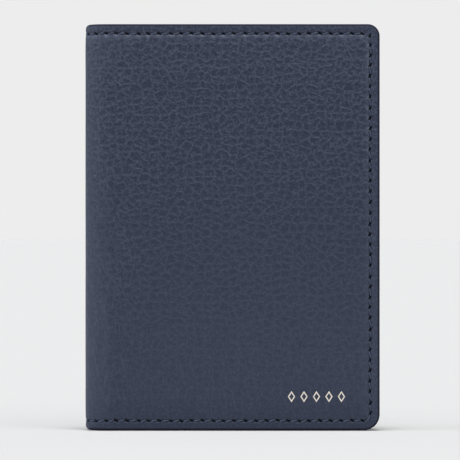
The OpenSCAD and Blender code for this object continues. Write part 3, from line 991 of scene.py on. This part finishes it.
def flat_face(depth):
    """Inner face of a sheet that lies on the hem."""
    return lambda s, z: depth - sag(s, z)


def pocket_face(node):
    """Inner face of a card pocket: lifted over the pocket behind it, then sloping down below its foot."""
    outer, lifted = front_depths(node)
    behind = POCKETS[node]
    if behind is None:
        return flat_face(lifted)
    dropped = outer + POCKET_T
    foot = node_box(behind)[0][2]
    return lambda s, z: dropped + (lifted - dropped) * smooth_step(z, foot - SLOPE_H, foot) - sag(s, z)


def front_inside(s, z):
    """Depth of the innermost layer of the front cover."""
    depth = np.where(s < PANEL_S, hem_face(s, z), PANEL_DEPTH - sag(s, z))
    for node in POCKETS:
        bottom, top = node_box(node)
        there = (s >= PANEL_S) & (z >= bottom[2]) & (z <= top[2])
        depth = np.where(there, np.maximum(depth, pocket_face(node)(s, z)), depth)
    return depth


def back_inside(s, z):
    """Depth of the innermost layer of the back cover."""
    return np.where(s < SLEEVE_S, hem_face(s, z), SLEEVE_DEPTH - sag(s, z))


def spans(node):
    """A flat node's span in s and in z."""
    bottom, top = node_box(node)
    return (bottom[0] - SPINE_X, top[0] - SPINE_X), (bottom[2], top[2])


def corners(inset_by):
    """Radii of the lower and the upper free corner of a layer set back from the cover's edge."""
    return FOOT_R - inset_by, TOP_R - inset_by


def layer(name, node, material, side, face, thickness, radii=(0, 0), mouth="none"):
    """One leather or cloth layer of the inside, in the place of its CAD node."""
    s_span, z_span = spans(node)
    made = slab(name, material, side, s_span, z_span, face, thickness, radii, mouth)
    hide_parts(node)
    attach(made, "front" if side == FRONT else "back")
    return made


def cloth_layer(name, node, material, side, depth, thickness, radii=(0, 0)):
    """One of the inside's cloth layers, laid on the leather that it is glued to."""
    made = layer(name, node, material, side, flat_face(depth), thickness, radii)


# ---- stage ----

BACKDROP = linear(237, 237, 237)
SKY = 0.30
SUNS = [
    # name, azimuth, elevation, strength, spread in degrees, colour
    ("top", 0, 84, 2.4, 14, (1, 1, 1)),
    ("key", 35, 50, 0.82, 65, (1, 1, 1)),
    ("fill", -45, 50, 0.42, 65, (1, 1, 1)),
    ("side", -80, 18, 1.05, 30, (0.82, 0.89, 1.0)),
]
CAMERA_BACK = 1500.0
VIEW_W = 158.5
VIEW_X = -0.8
VIEW_Z = 69.02
SENSOR_W = 36.0
FLOOR_HALF = 30.0


def add(name, data):
    """A new object in the scene."""
    made = bpy.data.objects.new(name, data)
    bpy.context.scene.collection.objects.link(made)
    return made


def backdrop():
    """World that lights the scene evenly and that the camera sees as pale grey."""
    world = bpy.data.worlds.new("studio")
    bpy.context.scene.world = world
    world.use_nodes = True
    nodes, links = world.node_tree.nodes, world.node_tree.links
    seen, lit = nodes["Background"], nodes.new("ShaderNodeBackground")
    seen.inputs[0].default_value = BACKDROP
    lit.inputs[0].default_value = (1, 1, 1, 1)
    lit.inputs[1].default_value = SKY
    path, chosen = nodes.new("ShaderNodeLightPath"), nodes.new("ShaderNodeMixShader")
    links.new(path.outputs["Is Camera Ray"], chosen.inputs[0])
    links.new(lit.outputs[0], chosen.inputs[1])
    links.new(seen.outputs[0], chosen.inputs[2])
    links.new(chosen.outputs[0], nodes["World Output"].inputs[0])


def lamps():
    """The soft lights of SUNS."""
    for name, azimuth, elevation, strength, spread, tint in SUNS:
        light = bpy.data.lights.new(name, "SUN")
        light.energy = strength
        light.color = tint
        light.angle = math.radians(spread)
        around, up = math.radians(azimuth), math.radians(elevation)
        toward = Vector((math.sin(around) * math.cos(up), -math.cos(around) * math.cos(up), math.sin(up)))
        add(name, light).rotation_euler = toward.to_track_quat("Z", "Y").to_euler()


def paper_floor():
    """Floor to the horizon, just as pale under these lights as the backdrop."""
    far = FLOOR_HALF
    mesh = bpy.data.meshes.new("floor")
    mesh.from_pydata([(-far, -far, 0), (far, -far, 0), (far, far, 0), (-far, far, 0)], [], [(0, 1, 2, 3)])
    floor = add("floor", mesh)
    floor.location.z = -0.2 * MM
    suns = sum(strength * math.sin(math.radians(elevation)) for _, _, elevation, strength, _, _ in SUNS)
    share = BACKDROP[0] / (SKY + suns / math.pi)
    paper = Shader("pale_paper", roughness=1.0, specular=0.0)
    paper.colour((share, share, share, 1))
    mesh.materials.append(paper.material)


def level_camera():
    """Camera that looks squarely at the front cover from far off."""
    data = bpy.data.cameras.new("camera")
    data.sensor_width = SENSOR_W
    data.lens = SENSOR_W * CAMERA_BACK / VIEW_W
    data.clip_end = 100
    camera = add("camera", data)
    camera.location = Vector((VIEW_X, low[1] - CAMERA_BACK, VIEW_Z)) * MM
    camera.rotation_euler = (math.radians(90), 0, 0)
    bpy.context.scene.camera = camera


def stage():
    """Pale floor and backdrop, soft studio light and the camera."""
    backdrop()
    lamps()
    paper_floor()
    level_camera()
    bpy.context.scene.view_settings.view_transform = "Standard"


# ---- build ----


def bend_with_spine(piece):
    """A piece that lies round half the spine, with its placing baked into its mesh."""
    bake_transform(piece)


def cover_pieces(side, cover, grained, hem, lining, thread):
    """A cover's leather, lining and outer seam, each of which also goes round half of the spine."""
    made = cover_leather(cover + "_cover_leather", side, [grained, hem])
    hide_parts(cover + "_outer_leather", cover + "_turned_hem", "spine_outer_leather",
                "spine_turned_hem")
    bend_with_spine(made)

    edge = HEM_T + 0.05
    depth = LINING_TOP + LINING_T
    cloth = slab(cover + "_cover_lining", lining, side, (-BEND, FLAT_W - edge), (edge, COVER_H - edge),
                 at_depth(depth), LINING_T, corners(edge), to_crest=True)
    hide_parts(cover + "_lining", "spine_lining")
    bend_with_spine(cloth)

    outer = strands(cover + "_seam_outer", thread, side, seam_point, seam_stitches(OUTER_BACK),
                    lambda s, z: slow_waves(s, z, side) + CHANNEL_FLOOR, **OUTER_STRAND)
    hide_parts(cover + "_outer_thread", "spine_outer_thread")
    bend_with_spine(outer)

    inside = front_inside if side == FRONT else back_inside
    inner = strands(cover + "_seam_inner", thread, side, seam_point, seam_stitches(INNER_BACK), inside,
                    **INNER_STRAND)
    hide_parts(cover + "_inner_thread", "spine_inner_thread")
    bend_with_spine(inner)


def front_inside_pieces(pocket, liner, thread):
    """The panel, its card pockets, the cloth that carries two of them down, and the panel's own seam."""
    panel = layer("card_panel_leather", "card_panel", pocket, FRONT, flat_face(PANEL_DEPTH),
                  PANEL_DEPTH - HEM_DEPTH, corners(POCKET_INSET), "spine")
    for node in POCKETS:
        foot = FOOT_R - POCKET_INSET if node == "card_pocket_bottom" else 0
        made = layer(node + "_leather", node, pocket, FRONT, pocket_face(node), POCKET_T, (foot, 0), "top")
    for node in ("card_liner_top", "card_liner_middle"):
        outer, inner = front_depths(node)
        cloth_layer(node + "_cloth", node, liner, FRONT, inner, inner - outer)

    path, row = edge_row(PANEL_S + EDGE_SEAM)
    seam = strands("card_panel_seam", thread, FRONT, path, row, front_inside, **INNER_STRAND)
    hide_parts("card_panel_thread")
    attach(seam, "front")


def back_inside_pieces(pocket, liner, thread):
    """The sleeve that takes the passport's cover, its lining and the row up its mouth."""
    sleeve = layer("passport_sleeve_leather", "passport_sleeve", pocket, BACK, flat_face(SLEEVE_DEPTH),
                   SLEEVE_DEPTH - SLEEVE_UNDER, corners(POCKET_INSET), "spine")
    outer, inner = back_depths("passport_sleeve_lining")
    cloth_layer("passport_sleeve_cloth", "passport_sleeve_lining", liner, BACK, inner, inner - outer,
                corners(2 * POCKET_INSET))

    path, row = edge_row(SLEEVE_S + EDGE_SEAM)
    seam = strands("passport_sleeve_seam", thread, BACK, path, row, back_inside, **INNER_STRAND)
    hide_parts("sleeve_edge_thread")
    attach(seam, "back")


def main():
    stage()
    grained = pebbled_leather()
    hem = smooth_leather("turned_hem_leather", (38, 44, 62), (32, 37, 54))
    pocket = smooth_leather("pocket_leather", (37, 44, 63), (18, 21, 33))
    lining = twill("lining_twill", (46, 53, 73))
    liner = twill("pocket_liner_cloth", (34, 39, 56))
    thread = waxed_thread("navy_thread", (57, 65, 84))

    for side, cover in ((FRONT, "front"), (BACK, "back")):
        cover_pieces(side, cover, grained, hem, lining, thread)
    front_inside_pieces(pocket, liner, thread)
    back_inside_pieces(pocket, liner, thread)

    stamp = stamped_foil("foil_lozenges", foil())
    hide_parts("foil_stamp")
    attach(stamp, "front")

    board = fibre_board()
    for node in ("front_board", "back_board", "spine_reinforcement"):
        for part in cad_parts[node].material_slots:
            part.material = board


main()
